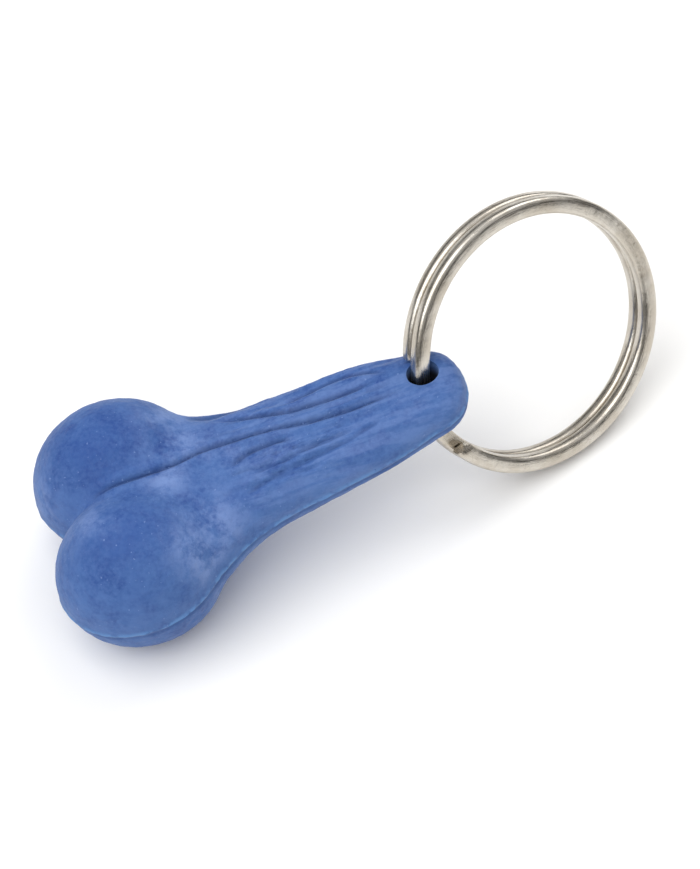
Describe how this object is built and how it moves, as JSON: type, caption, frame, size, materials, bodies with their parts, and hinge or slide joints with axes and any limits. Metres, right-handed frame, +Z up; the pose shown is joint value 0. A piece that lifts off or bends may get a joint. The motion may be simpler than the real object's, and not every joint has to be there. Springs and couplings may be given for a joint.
{
  "type": "novelty keychain",
  "caption": "Keychain with a moulded blue rubber novelty fob, two round lobes tapering along a creased neck to an eyelet, hung on a two-turn nickel-plated split ring.",
  "frame": {"origin": "centre of the bounding box's underside, on the table the keychain lies on", "axes": "+X from the fob's lobes along the neck to the ring, +Z up, +Y across the fob"},
  "size_m": [0.0746, 0.029, 0.0296],
  "materials": {
    "blue_rubber": "matt moulded rubber with a pale bloom",
    "nickel_wire": "bright nickel plate on spring steel"
  },
  "bodies": {
    "fob": {"rubber_fob": "blue_rubber"},
    "ring": {"split_ring": "nickel_wire"},
    "rear_end": {"ring_end_rear": "nickel_wire"},
    "front_end": {"ring_end_front": "nickel_wire"}
  },
  "joints": [
    {"name": "ring_swing", "type": "hinge", "parent": "fob", "child": "ring", "pos_m": [0.00747, 0, 0.01573], "axis": [0.0313, 0.2008, 0.9791], "range_deg": [-160, 130]},
    {"name": "rear_end_pry", "type": "hinge", "parent": "ring", "child": "rear_end", "pos_m": [0.0357, 0.00938, 0.01355], "axis": [0.0829, -0.4541, -0.8871], "range_deg": [0, 6], "stiffness_Nm_per_rad": 0.03, "springref_deg": -1.15},
    {"name": "front_end_pry", "type": "hinge", "parent": "ring", "child": "front_end", "pos_m": [0.03619, 0.0079, 0.01436], "axis": [-0.0829, 0.4541, 0.8871], "range_deg": [0, 6], "stiffness_Nm_per_rad": 0.03, "springref_deg": -1.15}
  ]
}
